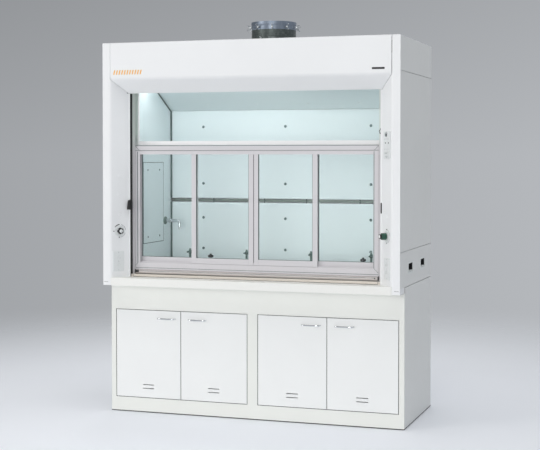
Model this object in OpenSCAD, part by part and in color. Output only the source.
// Bench-height laboratory fume hood on a four-door base cabinet.
// X runs left to right, Y front to back, Z up. The origin is on the floor under the middle of the hood.

/* [Overall] */
// Width of the hood and of its cabinet
hood_w = 1800; // [1790:5:1810]
// Depth of the hood, from the flat of the posts to the back
hood_d = 850; // [840:5:900]
// Height of the hood's roof
hood_h = 2200; // [2195:5:2230]
// Thickness of the outer steel sheet
sheet_t = 2; // [1.5:0.5:2.5]

/* [Front] */
// Width of the flat strip on each front post
strip_w = 48; // [46:1:50]
// How far back the slanted face of the posts and the header runs
bevel_d = 92; // [88:1:94]
// Half the clear width between the slanted faces
clear_half_w = 775; // [775:1:777]
// Height of the clear opening's top edge
clear_top = 1906; // [1900:1:1912]
// Height of the bend in the header
header_bend_z = 1985; // [1980:1:1990]

/* [Base cabinet] */
// Height of the worktop's underside
base_h = 765; // [760:1:768]
// How far the cabinet's face stands back from the posts
base_setback = 113.5; // [112:0.5:116]
// Height of the plinth below the doors
plinth_h = 85; // [80:1:90]
// Height of the door openings' top edge
door_top = 615; // [605:1:620]
// Gap round each door
door_gap = 3.5; // [3.5:0.1:4]
// Thickness of a door
door_t = 18; // [17:0.5:18]
// Width of a door handle
handle_w = 115; // [105:1:125]

/* [Worktop] */
// Thickness of the worktop's front edge
worktop_t = 47; // [44:1:49]

/* [Sash] */
// Height of the rail under the sash
sill_t = 16; // [15:1:16]
// Height of the sash's top edge when it is shut
sash_top = 1597; // [1590:1:1600]
// Width of the sash's side members
sash_stile = 32; // [30:1:33]
// Height of the sash's top rail
sash_rail = 54; // [50:1:56]
// Height of the panes' lower edge
pane_bottom = 898; // [897:1:899]
// Width of a pane
pane_w = 387; // [386:0.5:387]
// Width of a pane's own frame members
pane_stile = 29; // [27:1:31]
// Thickness of the glass
glass_t = 5; // [4:0.5:5]

/* [Duct] */
// Outer radius of the duct collar's upper band
duct_r = 137; // [135:1:140]
// Height of the duct collar above the roof
duct_h = 140; // [138:1:160]

/* [Hidden] */
$fn = 48;

half_w = hood_w / 2;
worktop_z = base_h + worktop_t;
roof_z = hood_h - sheet_t;
strip_in = half_w - strip_w;
bevel_w = strip_in - clear_half_w;
bevel_angle = atan2(bevel_d, bevel_w);
bend_r = 30;
seam = 2;
slack = 0.3;

// The cabinet
panel_t = 20;
side_top = 797;
stile_in = 870;
centre_half = 31;
door_seam = 450;
pivot_in = 6;
pivot_r = 3;
running = 0.05;
door_rail = 14;
shelf_z = 340;
shelf_y = 280;
shelf_lip = 27;

// The hood's inside
liner_t = 6;
liner_y0 = 200;
baffle_y = 735;
slot_z0 = 1240;
slot_z1 = 1265;
slope_low_z = 1821;
ceiling_y = 400;
ceiling_z = 2000;
baffle_foot = 50;
lamp_w = 1240;
lamp_d = 110;
lamp_y = 300;
duct_y = 508;
duct_band_r = duct_r - 3;

// The sash and what carries it
sash_half_w = 749;
sash_y0 = 128;
sash_y1 = 172;
sash_bottom = 856;
pane_top = 1575;
pane_t = 15;
pane_front_y = 132;
pane_rear_y = 153;
track_out = 780;
cable_x = 765;
cable_y = 150;
cable_r = 1.5;
pulley_r = 35;
pulley_x = 800;
pulley_z = 2150;
weight_w = 74;
weight_d = 62;
weight_len = 400;
weight_top = 1960;

// ---------------------------------------------------------------- helpers

// Moves a piece drawn from the front face into the part's own frame.
module placed() {
    translate([0, -hood_d / 2, 0]) children();
}

// A block between two opposite corners.
module block(low, high) {
    translate(low) cube(high - low);
}

module both_sides() {
    children();
    mirror([1, 0, 0]) children();
}

function unit(v) = v / norm(v);
function left_of(v) = [-v[1], v[0]];

// Where a path's outline, t to the left of it, passes point i.
function outline_point(path, i, t) =
    let(
        before = i > 0 ? unit(path[i] - path[i - 1]) : unit(path[1] - path[0]),
        after = i < len(path) - 1 ? unit(path[i + 1] - path[i]) : before,
        n0 = left_of(before),
        n1 = left_of(after)
    )
    path[i] + t * (n0 + n1) / (1 + n0 * n1);

// The section of a sheet folded along a path, with its thickness to the path's left.
module folded_section(path, t) {
    far_side = [for (i = [len(path) - 1 : -1 : 0]) outline_point(path, i, t)];
    polygon(concat(path, far_side));
}

// Points round a bend of radius r at corner b, on the way from a to c.
function bend(a, b, c, r, steps = 6) =
    let(
        u = unit(a - b),
        v = unit(c - b),
        half = acos(u * v) / 2,
        centre = b + unit(u + v) * r / sin(half),
        p0 = b + u * r / tan(half),
        p1 = b + v * r / tan(half),
        a0 = atan2(p0[1] - centre[1], p0[0] - centre[0]),
        a1 = atan2(p1[1] - centre[1], p1[0] - centre[0]),
        turn = a1 - a0 > 180 ? a1 - a0 - 360 : a1 - a0 < -180 ? a1 - a0 + 360 : a1 - a0
    )
    [for (i = [0 : steps]) centre + r * [cos(a0 + turn * i / steps), sin(a0 + turn * i / steps)]];

// A rounded rectangle, centred, made of two bars and four discs.
module rounded_rect(w, h, r) {
    square([w - 2 * r, h], center = true);
    square([w, h - 2 * r], center = true);
    for (x = [-1, 1], y = [-1, 1]) translate([x * (w / 2 - r), y * (h / 2 - r)]) circle(r);
}

// Stands a piece on the left post's slanted face: its +Z points out of the face, its +Y up.
module on_bevel(z, along = 0) {
    translate([-(strip_in + clear_half_w) / 2, bevel_d / 2, z])
        rotate([90, 0, bevel_angle])
            translate([along, 0, 0])
                children();
}

module on_right_bevel(z, along = 0) {
    mirror([1, 0, 0]) on_bevel(z, along) mirror([1, 0, 0]) children();
}

// ---------------------------------------------------------------- base cabinet

// An outer sheet on four stiffening bars.
module base_sides() color("whitesmoke") placed() both_sides() {
    front_y = base_setback + panel_t;
    bar_x = half_w - panel_t;
    bar_end = half_w - sheet_t - slack;
    block([half_w - sheet_t, front_y, 0], [half_w, hood_d, side_top]);
    for (y = [front_y, hood_d - panel_t]) block([bar_x, y, 0], [bar_end, y + panel_t, side_top]);
    for (z = [0, side_top - panel_t])
        block([bar_x, front_y + panel_t + slack, z], [bar_end, hood_d - panel_t - slack, z + panel_t]);
}

// Flat sheets that are fixed to each other with a hairline joint between them.
module base_inner_panels() color("gainsboro") placed() {
    inner_w = half_w - panel_t;
    front_y = base_setback + panel_t;
    back_y = hood_d - sheet_t;
    // the floor, with a lip behind the plinth
    block([-inner_w, front_y, plinth_h - sheet_t], [inner_w, back_y, plinth_h]);
    block([-inner_w, front_y, plinth_h - shelf_lip], [inner_w, front_y + sheet_t, plinth_h - sheet_t - slack]);
    // the partition
    block([-sheet_t / 2, front_y, plinth_h + slack], [sheet_t / 2, back_y, base_h]);
    // a shelf with a turned-down front edge in each bay
    both_sides() {
        shelf_x = sheet_t / 2 + slack;
        block([shelf_x, shelf_y, shelf_z], [inner_w, back_y, shelf_z + sheet_t]);
        block([shelf_x, shelf_y, shelf_z - shelf_lip], [inner_w, shelf_y + sheet_t, shelf_z - slack]);
    }
}

// The left edge of each door's pivot side, and which way the door runs from there.
pivot_x = [-stile_in, -centre_half, centre_half, stile_in];
door_dir = [1, -1, 1, -1];
function pivot_axis_x(i) = pivot_x[i] + door_dir[i] * (door_gap + pivot_in);
pivot_y = base_setback + pivot_in;

module base_front_frame() color("whitesmoke") placed() difference() {
    block([-half_w, base_setback, 0], [half_w, base_setback + panel_t, base_h]);
    both_sides() {
        // the door opening
        block([centre_half, base_setback - 1, plinth_h], [stile_in, base_setback + panel_t + 1, door_top]);
        // the hollows behind the apron and the plinth
        for (z = [[sheet_t, plinth_h - sheet_t], [door_top + sheet_t, base_h - sheet_t]])
            block([centre_half + 30, base_setback + sheet_t, z[0]], [stile_in - 30, base_setback + panel_t + 1, z[1]]);
    }
    for (i = [0 : 3], z = [plinth_h - 20, door_top])
        translate([pivot_axis_x(i), pivot_y, z]) cylinder(h = 20, r = pivot_r + running);
}

module door_hinge_pins() color("silver") placed()
    for (i = [0 : 3], z = [plinth_h - 19, door_top - 18])
        translate([pivot_axis_x(i), pivot_y, z]) cylinder(h = 37, r = pivot_r);

module door_shell(i) {
    x0 = pivot_x[i] + door_dir[i] * door_gap;
    x1 = sign(pivot_x[i]) * door_seam + (i % 2 == 0 ? -1 : 1) * door_gap / 2;
    low = min(x0, x1);
    high = max(x0, x1);
    z0 = plinth_h + door_gap;
    z1 = door_top - door_gap;
    difference() {
        block([low, base_setback, z0], [high, base_setback + door_t, z1]);
        block(
            [low + door_rail, base_setback + sheet_t, z0 + door_rail + 14],
            [high - door_rail, base_setback + door_t + 1, z1 - door_rail - 14]
        );
        for (z = [z0 - 1, z1 - 16])
            translate([pivot_axis_x(i), pivot_y, z]) cylinder(h = 17, r = pivot_r + running);
        // two pressed louvre slots, cut through the skin
        for (k = [0, 1])
            block(
                [(low + high) / 2 - 35, base_setback - 1, 141 + 22 * k],
                [(low + high) / 2 + 35, base_setback + sheet_t + 1, 145 + 22 * k]
            );
    }
}

module door_1() color("whitesmoke") placed() door_shell(0);
module door_2() color("whitesmoke") placed() door_shell(1);
module door_3() color("whitesmoke") placed() door_shell(2);
module door_4() color("whitesmoke") placed() door_shell(3);

handle_x = [-542, -345, 355, 553];
handle_z = 566;
handle_reach = 25;
handle_bar = 9;

// A flat bow handle: a bar on two feet.
module bow_handle(i) {
    y1 = base_setback;
    y0 = y1 - handle_reach;
    translate([handle_x[i], 0, handle_z]) {
        translate([0, 0, -handle_bar / 2]) linear_extrude(handle_bar) difference() {
            polygon([
                [-handle_w / 2, y1], [-handle_w / 2 + 12, y0 + 3], [-handle_w / 2 + 20, y0],
                [handle_w / 2 - 20, y0], [handle_w / 2 - 12, y0 + 3], [handle_w / 2, y1]
            ]);
            polygon([
                [-handle_w / 2 + 12, y1 + 1], [-handle_w / 2 + 21, y0 + 6],
                [handle_w / 2 - 21, y0 + 6], [handle_w / 2 - 12, y1 + 1]
            ]);
        }
    }
}

module door_handle_1() color("silver") placed() bow_handle(0);
module door_handle_2() color("silver") placed() bow_handle(1);
module door_handle_3() color("silver") placed() bow_handle(2);
module door_handle_4() color("silver") placed() bow_handle(3);

// ---------------------------------------------------------------- worktop and sink

sink_x = -672;
sink_y = 620;
sink_w = 96;
sink_l = 190;
sink_h = 110;

module worktop() color("white") placed() difference() {
    union() {
        block([-strip_in + 3.5, 0, base_h], [strip_in - 3.5, bevel_d + 6, worktop_z]);
        block([-half_w + panel_t + 1, bevel_d + 6, base_h], [half_w - panel_t - 1, hood_d - sheet_t, worktop_z]);
    }
    translate([sink_x, sink_y, base_h]) linear_extrude(worktop_t + 1) rounded_rect(sink_w + 8, sink_l + 8, 24);
}

module cup_sink() color("dimgray") placed() translate([sink_x, sink_y, 0]) difference() {
    union() {
        translate([0, 0, worktop_z]) linear_extrude(3) rounded_rect(sink_w + 24, sink_l + 24, 32);
        translate([0, 0, worktop_z - sink_h]) linear_extrude(sink_h) rounded_rect(sink_w + 6, sink_l + 6, 23);
        translate([0, 0, worktop_z - sink_h - 60]) cylinder(h = 60, r = 20);
    }
    translate([0, 0, worktop_z - sink_h + 4]) linear_extrude(sink_h) rounded_rect(sink_w, sink_l, 20);
    translate([0, 0, worktop_z - sink_h - 61]) cylinder(h = 80, r = 17);
}

// ---------------------------------------------------------------- outer shell of the hood

panel_seam_1 = 1001;
panel_seam_2 = 2005;
port_y = [269, 598];
port_z = 901;
port_w = 118;
port_h = 58;

module back_panels() color("whitesmoke") placed() {
    block([-half_w + panel_t, hood_d - sheet_t, 0], [half_w - panel_t, hood_d, side_top]);
    block([-half_w + sheet_t, hood_d - sheet_t, side_foot_z], [half_w - sheet_t, hood_d, roof_z]);
}

module side_sheet(z0, z1) block([half_w - sheet_t, sheet_t, z0], [half_w, hood_d, z1]);

module hood_sides() color("lightgray") placed() both_sides() {
    side_sheet(panel_seam_1 + seam / 2, panel_seam_2 - seam / 2);
    side_sheet(panel_seam_2 + seam / 2, roof_z);
}

module side_service_panels() color("lightgray") placed() both_sides() difference() {
    side_sheet(side_foot_z, panel_seam_1 - seam / 2);
    for (y = port_y)
        block([half_w - 10, y - port_w / 2, port_z - port_h / 2], [half_w + 1, y + port_w / 2, port_z + port_h / 2]);
}

// A rounded bezel with a shallow cup behind it.
module side_port() difference() {
    union() {
        linear_extrude(1.5) rounded_rect(port_w + 14, port_h + 14, 14);
        translate([0, 0, -40]) linear_extrude(41) square([port_w - 1, port_h - 1], center = true);
    }
    translate([0, 0, -37]) linear_extrude(50) square([port_w - 9, port_h - 9], center = true);
}

module side_ports() color("silver") placed() both_sides()
    for (y = port_y) translate([half_w, y, port_z]) rotate([90, 0, 90]) side_port();

module hood_roof() color("whitesmoke") placed() difference() {
    block([-half_w, 0, roof_z], [half_w, hood_d, hood_h]);
    translate([0, duct_y, hood_h - 5]) cylinder(h = 10, r = duct_band_r - 4);
}

// The header's section, in Y and Z, seen from its right end.
module header_section() folded_section(
    concat(
        [[14, roof_z - 14], [14, roof_z], [0, roof_z]],
        bend([0, roof_z], [0, header_bend_z], [bevel_d, clear_top], bend_r),
        [[bevel_d, clear_top], [bevel_d + 6, clear_top], [bevel_d + 6, clear_top + 14]]
    ),
    sheet_t
);

module header_panel() color("white") placed() intersection() {
    translate([-half_w, 0, 0]) rotate([90, 0, 90]) linear_extrude(hood_w) header_section();
    // mitred against the slanted faces of the posts
    rotate([90, 0, 0]) translate([0, 0, -150]) linear_extrude(200) polygon([
        [-strip_in + seam, hood_h + 1], [-strip_in + seam, header_bend_z], [-clear_half_w + seam, clear_top - 1],
        [clear_half_w - seam, clear_top - 1], [strip_in - seam, header_bend_z], [strip_in - seam, hood_h + 1]
    ]);
}

// The left post's section, in X and Y.
module post_section() folded_section(
    concat(
        [[-clear_half_w - 22, bevel_d + 4], [-clear_half_w, bevel_d + 4], [-clear_half_w, bevel_d]],
        bend([-clear_half_w, bevel_d], [-strip_in, 0], [-half_w, 0], bend_r),
        [[-half_w, 0]]
    ),
    -sheet_t
);

post_foot_z = base_h + 3;
side_foot_z = 800;
outlet_z = 908;
knob_z = 1088;
plate_z = 1595;
button_z = 1650;
rocker_z = 1541;

module front_posts() color("white") placed() both_sides() difference() {
    union() {
        translate([0, 0, post_foot_z]) linear_extrude(roof_z - post_foot_z) post_section();
        // the closed foot, and the side of the post below the side panels
        block([-half_w, sheet_t, post_foot_z], [-strip_in, 60, post_foot_z + sheet_t]);
        block([-half_w, sheet_t, post_foot_z], [-half_w + sheet_t, base_setback - seam, side_foot_z]);
    }
    // the slanted face stands on the worktop
    block([-strip_in, -5, base_h - 1], [-clear_half_w + 5, bevel_d + 20, worktop_z]);
    // and stops under the header's mitre
    rotate([90, 0, 0]) translate([0, 0, -150]) linear_extrude(160) polygon([
        [-strip_in, header_bend_z], [-clear_half_w, clear_top], [-clear_half_w + 5, clear_top],
        [-clear_half_w + 5, hood_h + 1], [-strip_in, hood_h + 1]
    ]);
    block([-clear_half_w - 40, bevel_d - 8, clear_top], [-clear_half_w + 5, bevel_d + 20, hood_h + 1]);
    on_bevel(knob_z) translate([0, 0, -20]) cylinder(h = 40, r = 9);
}

// ---------------------------------------------------------------- inside of the chamber

module side_liners() color("azure") placed() both_sides()
    block([clear_half_w, liner_y0, worktop_z], [clear_half_w + liner_t, baffle_y + liner_t, 2160]);

access_y = [300, 603];
access_z = [998, 1492];

module liner_access_panels() color("azure") placed() both_sides()
    block([clear_half_w - 3, access_y[0], access_z[0]], [clear_half_w, access_y[1], access_z[1]]);

inner_half = clear_half_w - 0.5;

module baffle_lower() color("azure") placed()
    block([-inner_half, baffle_y, worktop_z + baffle_foot], [inner_half, baffle_y + liner_t, slot_z0]);

module baffle_upper() color("azure") placed()
    block([-inner_half, baffle_y, slot_z1], [inner_half, baffle_y + liner_t, slope_low_z]);

module ceiling_panel() color("azure") placed() difference() {
    translate([-inner_half, 0, 0]) rotate([90, 0, 90]) linear_extrude(2 * inner_half) folded_section(
        [[baffle_y, slope_low_z + 1], [ceiling_y, ceiling_z], [liner_y0 + 1, ceiling_z]], -4
    );
    block([-lamp_w / 2, lamp_y - lamp_d / 2, ceiling_z - 5], [lamp_w / 2, lamp_y + lamp_d / 2, ceiling_z + 10]);
}

// Pan-head screws with their heads towards +Z.
module pan_head(r) {
    cylinder(h = 2, r = r);
    translate([0, 0, 2]) cylinder(h = 1.2, r1 = r, r2 = r * 0.7);
}

slope_dir = atan2(ceiling_z - slope_low_z - 1, baffle_y - ceiling_y);
screw_x = [-550, 0, 550];
slope_screw_x = [-495, -165, 165, 495];
access_screw_y = [366, 544];
big_head_r = 9;
slope_head_r = 6.5;
small_head_r = 5;

module liner_screws() color("slategray") placed() {
    for (x = screw_x, z = [945, 1141, 1359, 1719])
        translate([x, baffle_y, z]) rotate([90, 0, 0]) pan_head(big_head_r);
    for (x = slope_screw_x, s = [0.2, 0.8])
        translate([x, baffle_y + (ceiling_y - baffle_y) * s, slope_low_z + 1 + (ceiling_z - slope_low_z - 1) * s])
            rotate([180 - slope_dir, 0, 0]) pan_head(slope_head_r);
    both_sides()
        for (y = access_screw_y, z = [access_z[0] + 35, access_z[1] - 45])
            translate([-clear_half_w + 3, y, z]) rotate([0, 90, 0]) pan_head(small_head_r);
}

module lamp_housing() color("white") placed() difference() {
    block(
        [-lamp_w / 2 - 20, lamp_y - lamp_d / 2 - 20, ceiling_z + 4],
        [lamp_w / 2 + 20, lamp_y + lamp_d / 2 + 20, ceiling_z + 74]
    );
    block(
        [-lamp_w / 2, lamp_y - lamp_d / 2, ceiling_z - 1],
        [lamp_w / 2, lamp_y + lamp_d / 2, ceiling_z + 72]
    );
}

module lamp_diffuser() color("ivory") placed()
    block(
        [-lamp_w / 2 + 0.5, lamp_y - lamp_d / 2 + 0.5, ceiling_z],
        [lamp_w / 2 - 0.5, lamp_y + lamp_d / 2 - 0.5, ceiling_z + 4]
    );

// ---------------------------------------------------------------- duct collar

bolt_z = hood_h + 105;
bolt_count = 10;
spigot_h = 18;
first_bolt = 14;

module duct_collar() color("slategray") placed() translate([0, duct_y, hood_h]) rotate_extrude($fn = 96) difference() {
    union() {
        square([duct_band_r, duct_h]);
        translate([0, bolt_z - hood_h - 12]) square([duct_band_r + 1.5, 26]);
        translate([0, duct_h - spigot_h]) square([duct_r, spigot_h]);
        square([duct_band_r + 22, 3]);
    }
    translate([0, -1]) square([duct_band_r - 3, duct_h + 2]);
}

// A radial wing bolt: shank, hub and two upright wings, pointing along +X.
module wing_bolt() {
    rotate([0, 90, 0]) cylinder(h = 20, r = 3);
    translate([8, 0, 0]) rotate([0, 90, 0]) cylinder(h = 12, r = 6.5);
    rotate([90, 0, 0]) translate([0, 0, -1.5]) linear_extrude(3)
        for (s = [-1, 1]) polygon([[10, s * 5], [18, s * 5], [33, s * 13], [31, s * 18], [24, s * 17]]);
}

module duct_wing_bolts() color("gray") placed() translate([0, duct_y, bolt_z])
    for (i = [0 : bolt_count - 1])
        rotate([0, 0, -90 + first_bolt + i * 360 / bolt_count]) translate([duct_band_r + 1.7, 0, 0]) wing_bolt();

// ---------------------------------------------------------------- upper fixed glass

upper_y0 = 178;
upper_y1 = 196;
upper_rail_z = [1597, 1623];
upper_glass_y = 185;
upper_channel = 28;
groove = 4;

module upper_glass_frame() color("white") placed() difference() {
    block([-clear_half_w + 1, upper_y0, upper_rail_z[0]], [clear_half_w - 1, upper_y1, ceiling_z]);
    block(
        [-clear_half_w + upper_channel, upper_y0 - 1, upper_rail_z[1]],
        [clear_half_w - upper_channel, upper_y1 + 1, ceiling_z + 1]
    );
    block(
        [-clear_half_w + upper_channel - groove - 1, upper_glass_y - 0.1, upper_rail_z[1] - groove - 1],
        [clear_half_w - upper_channel + groove + 1, upper_glass_y + glass_t + 0.1, ceiling_z + 1]
    );
}

module upper_glass() color("lightcyan", 0.4) placed() block(
    [-clear_half_w + upper_channel - groove, upper_glass_y, upper_rail_z[1] - groove],
    [clear_half_w - upper_channel + groove, upper_glass_y + glass_t, ceiling_z]
);

// ---------------------------------------------------------------- sash

track_wall = 2;
track_in = 750;
track_top = 2105;
sill_y = [104, 192];

// Hanger under the roof that carries a pulley on its own axle.
module pulley_bracket() {
    for (y = [cable_y - 12, cable_y + 9])
        block([pulley_x - 14, y, pulley_z - 14], [pulley_x + 14, y + 3, roof_z - 6]);
    block([pulley_x - 14, cable_y - 12, roof_z - 6], [pulley_x + 14, cable_y + 12, roof_z]);
    translate([pulley_x, cable_y + 12, pulley_z]) rotate([90, 0, 0]) cylinder(h = 24, r = 6);
}

module sash_tracks() color("silver") placed() {
    // the sill, with a drip groove along its front
    difference() {
        block([-clear_half_w, sill_y[0], worktop_z], [clear_half_w, sill_y[1], worktop_z + sill_t]);
        block([-clear_half_w - 1, sill_y[0] - 1, worktop_z + 6], [clear_half_w + 1, sill_y[0] + 3, worktop_z + 10]);
    }
    both_sides() {
        difference() {
            block([track_in, sash_y0, worktop_z + sill_t], [track_out, sash_y1, track_top]);
            block(
                [track_in - 1, sash_y0 + track_wall, worktop_z + sill_t - 1],
                [track_out - track_wall, sash_y1 - track_wall, track_top + 1]
            );
        }
        pulley_bracket();
    }
}

rib_w = 2;
rib_h = 6;
rail_lip = 3;

module sash_frame() color("silver") placed() {
    window_half = sash_half_w - sash_stile;
    difference() {
        block([-sash_half_w, sash_y0 + slack, sash_bottom], [sash_half_w, sash_y1 - slack, sash_top]);
        // the clear window
        block([-window_half, sash_y0 - 1, pane_bottom - 1], [window_half, sash_y1 + 1, sash_top - sash_rail]);
        // the space in which the panes run
        block(
            [-sash_half_w + 3, sash_y0 + rail_lip, pane_bottom - 1],
            [sash_half_w - 3, sash_y1 - rail_lip, pane_top + 3]
        );
        // the hollow bottom rail
        block([-sash_half_w - 1, sash_y0 + 3, sash_bottom + 3], [sash_half_w + 1, sash_y1 - 3, pane_bottom - 4]);
        // the groove along the top rail
        block([-sash_half_w - 1, sash_y0 - 1, 1563], [sash_half_w + 1, sash_y0 + 1.5, 1567]);
    }
    for (y = [pane_front_y, pane_rear_y])
        block(
            [-sash_half_w + 3, y + pane_t / 2 - rib_w / 2, pane_bottom - 1],
            [sash_half_w - 3, y + pane_t / 2 + rib_w / 2, pane_bottom - 1 + rib_h]
        );
}

module sash_handle_rail() color("silver") placed() {
    translate([-sash_half_w + 4, 0, 0]) rotate([90, 0, 90]) linear_extrude(2 * sash_half_w - 8) difference() {
        polygon([[116, 838], [122, 832], [160, 832], [160, 856], [128, 856], [116, 850]]);
        polygon([[124, 831], [150, 831], [150, 846], [124, 846]]);
    }
}

glide_z = [870, 1480];

module sash_glides() color("black") placed() both_sides()
    for (z = glide_z) difference() {
        block(
            [sash_half_w, sash_y0 + track_wall + slack, z],
            [track_out - track_wall - slack, sash_y1 - track_wall - slack, z + 60]
        );
        translate([cable_x, cable_y, z + (z == glide_z[0] ? 20 : -1)]) cylinder(h = 70, r = 4);
    }

// The left edge of each pane; the outer two run behind the inner two.
pane_x0 = [-sash_half_w + 4, -pane_w - 0.5, 0.5, sash_half_w - 4 - pane_w];
pane_y = [pane_rear_y, pane_front_y, pane_front_y, pane_rear_y];
pane_rail = 33;

pane_top_rail = 25;
pane_window_z = [pane_bottom + pane_rail, pane_top - pane_top_rail];

// Two stiles with two rails between them, a hairline joint apart.
module pane_frame(i) translate([pane_x0[i], pane_y[i], 0]) difference() {
    union() {
        for (x = [0, pane_w - pane_stile]) block([x, 0, pane_bottom], [x + pane_stile, pane_t, pane_top]);
        for (z = [[pane_bottom, pane_window_z[0]], [pane_window_z[1], pane_top]])
            block([pane_stile + slack, 0, z[0]], [pane_w - pane_stile - slack, pane_t, z[1]]);
    }
    // the groove that holds the glass
    block(
        [pane_stile - groove - 1, (pane_t - glass_t) / 2 - 0.1, pane_window_z[0] - groove - 1],
        [pane_w - pane_stile + groove + 1, (pane_t + glass_t) / 2 + 0.1, pane_window_z[1] + groove + 1]
    );
    // rides over the rib of the sash's bottom rail
    block([-1, pane_t / 2 - rib_w / 2 - 1, pane_bottom - 1], [pane_w + 1, pane_t / 2 + rib_w / 2 + 1, pane_bottom + rib_h + 1]);
}

module pane_glass(i) translate([pane_x0[i], pane_y[i], 0]) block(
    [pane_stile - groove, (pane_t - glass_t) / 2, pane_window_z[0] - groove],
    [pane_w - pane_stile + groove, (pane_t + glass_t) / 2, pane_window_z[1] + groove]
);

module pane_frame_1() color("silver") placed() pane_frame(0);
module pane_frame_2() color("silver") placed() pane_frame(1);
module pane_frame_3() color("silver") placed() pane_frame(2);
module pane_frame_4() color("silver") placed() pane_frame(3);
module pane_glass_1() color("lightcyan", 0.4) placed() pane_glass(0);
module pane_glass_2() color("lightcyan", 0.4) placed() pane_glass(1);
module pane_glass_3() color("lightcyan", 0.4) placed() pane_glass(2);
module pane_glass_4() color("lightcyan", 0.4) placed() pane_glass(3);

// ---------------------------------------------------------------- counterweights, cables and pulleys

groove_r = pulley_r - cable_r - 0.5;

module sash_cables() color("dimgray") placed() both_sides() {
    run = pulley_z - (glide_z[0] + 21);
    translate([cable_x, cable_y, glide_z[0] + 21]) cylinder(h = run, r = cable_r);
    translate([2 * pulley_x - cable_x, cable_y, weight_top + 0.5]) cylinder(h = pulley_z - weight_top - 0.5, r = cable_r);
    translate([pulley_x, cable_y, pulley_z]) rotate([90, 0, 0])
        rotate_extrude(angle = 180) translate([pulley_x - cable_x, 0]) circle(cable_r, $fn = 16);
}

module counterweights() color("gray") placed() both_sides()
    block(
        [2 * pulley_x - cable_x - weight_w / 2, cable_y - weight_d / 2, weight_top - weight_len],
        [2 * pulley_x - cable_x + weight_w / 2, cable_y + weight_d / 2, weight_top]
    );

module pulley() translate([pulley_x, cable_y, pulley_z]) rotate([90, 0, 0]) rotate_extrude() difference() {
    translate([6 + running, -6]) square([pulley_r + 4 - 6 - running, 12]);
    polygon([[groove_r, -1.6], [groove_r, 1.6], [pulley_r + 5, 4.5], [pulley_r + 5, -4.5]]);
}

module pulley_right() color("dimgray") placed() pulley();
module pulley_left() color("dimgray") placed() mirror([1, 0, 0]) pulley();

module sash_stop() color("black") placed() translate([-765.5, 79.5, 1215])
    cylinder(h = 55, r1 = 15, r2 = 9);

// ---------------------------------------------------------------- services

service_y = 600;
nozzle_x = [-587, -209, 209, 587];
wheel_x = [-449, 537];
wheel_z = 905;

// A hose nozzle on a round foot: an upright stem and an arm with ribs towards the front.
module hose_nozzle() {
    cylinder(h = 6, r = 22);
    cylinder(h = 120, r = 9);
    translate([0, 0, 120]) cylinder(h = 12, r1 = 12, r2 = 8);
    translate([0, 0, 105]) rotate([90, 0, 0]) cylinder(h = 50, r = 5);
    for (i = [0 : 3]) translate([0, -26 - 6 * i, 105]) rotate([90, 0, 0]) cylinder(h = 4, r1 = 7, r2 = 5);
}

// The body that a handwheel turns in.
module valve_stand() difference() {
    union() {
        cylinder(h = 6, r = 22);
        cylinder(h = wheel_z - worktop_z - 12, r = 11);
    }
    translate([0, 0, 50]) cylinder(h = 60, r = 4 + running);
}

// The valve behind a post that a service knob turns.
module post_valve() difference() {
    translate([0, 0, -48]) cylinder(h = 45, r = 15);
    translate([0, 0, -32]) cylinder(h = 60, r = 4 + running);
}

module service_fittings() color("darkslategray") placed() {
    for (x = nozzle_x) translate([x, service_y, worktop_z]) hose_nozzle();
    for (x = wheel_x) translate([x, service_y, worktop_z]) valve_stand();
    on_bevel(knob_z) post_valve();
    on_right_bevel(knob_z) post_valve();
}

module handwheel(x) translate([x, service_y, 0]) {
    translate([0, 0, worktop_z + 52]) cylinder(h = wheel_z - worktop_z - 52, r = 4);
    translate([0, 0, wheel_z - 8]) cylinder(h = 16, r = 18);
    translate([0, 0, wheel_z + 8]) cylinder(h = 8, r = 7);
}

module handwheel_left() color("black") placed() handwheel(wheel_x[0]);
module handwheel_right() color("black") placed() handwheel(wheel_x[1]);

// A short wall spout with its mouth turned down over the sink.
module wall_spout() color("silver") placed() translate([-clear_half_w, 638, 1123]) {
    rotate([0, 90, 0]) cylinder(h = 6, r = 25);
    rotate([0, 90, 0]) cylinder(h = 82, r = 9);
    translate([82, 0, -18]) rotate([-90, 0, 0]) rotate_extrude(angle = -90)
        translate([18, 0]) circle(9);
    translate([100, 0, -42]) cylinder(h = 24, r = 9);
    translate([100, 0, -58]) cylinder(h = 16, r1 = 5, r2 = 7);
}

knob_r = 18;
knob_gap = 6;

// A service knob with a flat front cap, on its own spindle.
module knob(reach, cap_r, cap_h) {
    translate([0, 0, -30]) cylinder(h = 38, r = 4);
    translate([0, 0, knob_gap]) cylinder(h = reach, r = knob_r);
    translate([0, 0, knob_gap + reach]) cylinder(h = cap_h, r = cap_r);
}

module gas_knob() color("black") placed() on_bevel(knob_z) knob(14, 10, 4);
module water_knob() color("darkgreen") placed() on_right_bevel(knob_z) knob(28, 13, 12);

plate_w = 70;
outlet_shift = 9;

module rounded_plate(w, h, t) linear_extrude(t) rounded_rect(w, h, 5);

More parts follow.
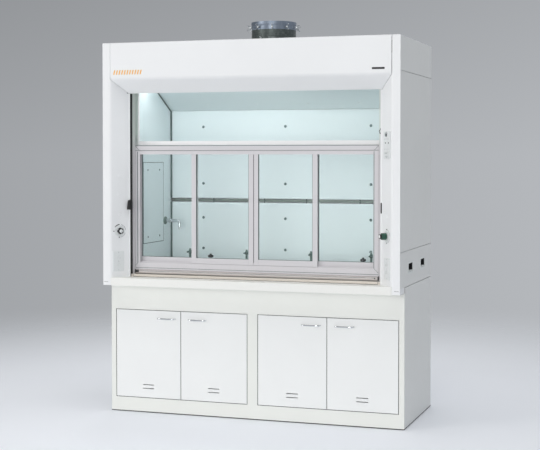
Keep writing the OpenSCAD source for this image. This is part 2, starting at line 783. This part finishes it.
// What is screwed flat to the posts: knob dials, socket plates and blanking plugs.
module post_plates() color("whitesmoke") placed() {
    for (side = [0, 1]) mirror([side, 0, 0]) {
        on_bevel(knob_z) difference() {
            cylinder(h = 1.5, r = 34);
            translate([0, 0, -1]) cylinder(h = 4, r = 9);
        }
        on_bevel(outlet_z) translate([-outlet_shift, 0, 0]) rounded_plate(plate_w, 120, 5);
    }
    for (z = [1190, 1305, 1413]) on_bevel(z) cylinder(h = 1.5, r = 12);
    on_right_bevel(1198) cylinder(h = 1.5, r = 12);
}

control_w = 76;
control_h = 151;
control_shift = 8;
button_r = 9;
button_along = 3;
rocker_w = 44;
rocker_h = 26;
rocker_tilt = 8;

module control_plate() color("gainsboro") placed() on_right_bevel(plate_z) difference() {
    translate([control_shift, 0, 0]) rounded_plate(control_w, control_h, 6);
    translate([button_along, button_z - plate_z, 1]) cylinder(h = 10, r = button_r + 0.6);
    translate([control_shift - rocker_w / 2 - 1, rocker_z - plate_z - rocker_h / 2 - 1, 1])
        cube([rocker_w + 2, rocker_h + 2, 10]);
}

module fan_button() color("dimgray") placed() on_right_bevel(button_z)
    translate([button_along, 0, 4.5]) cylinder(h = 5, r = button_r);

module light_rocker() color("white") placed() on_right_bevel(rocker_z)
    translate([control_shift, 0, 5.5]) rotate([rocker_tilt, 0, 0]) translate([-rocker_w / 2, 0, 0]) rotate([90, 0, 90])
        linear_extrude(rocker_w) polygon([
            [-rocker_h / 2 + 1, -1], [0, -2.4], [rocker_h / 2 - 1, -1], [rocker_h / 2 - 1, 3], [0, 2], [-rocker_h / 2 + 1, 3]
        ]);

base_sides();
base_inner_panels();
base_front_frame();
door_hinge_pins();
door_1();
door_2();
door_3();
door_4();
door_handle_1();
door_handle_2();
door_handle_3();
door_handle_4();
worktop();
cup_sink();
back_panels();
hood_sides();
side_service_panels();
side_ports();
hood_roof();
header_panel();
front_posts();
side_liners();
liner_access_panels();
baffle_lower();
baffle_upper();
ceiling_panel();
liner_screws();
lamp_housing();
lamp_diffuser();
duct_collar();
duct_wing_bolts();
upper_glass();
upper_glass_frame();
sash_tracks();
sash_frame();
sash_handle_rail();
sash_glides();
pane_frame_1();
pane_frame_2();
pane_frame_3();
pane_frame_4();
pane_glass_1();
pane_glass_2();
pane_glass_3();
pane_glass_4();
sash_cables();
counterweights();
pulley_left();
pulley_right();
sash_stop();
service_fittings();
wall_spout();
handwheel_left();
handwheel_right();
gas_knob();
water_knob();
post_plates();
control_plate();
fan_button();
light_rocker();
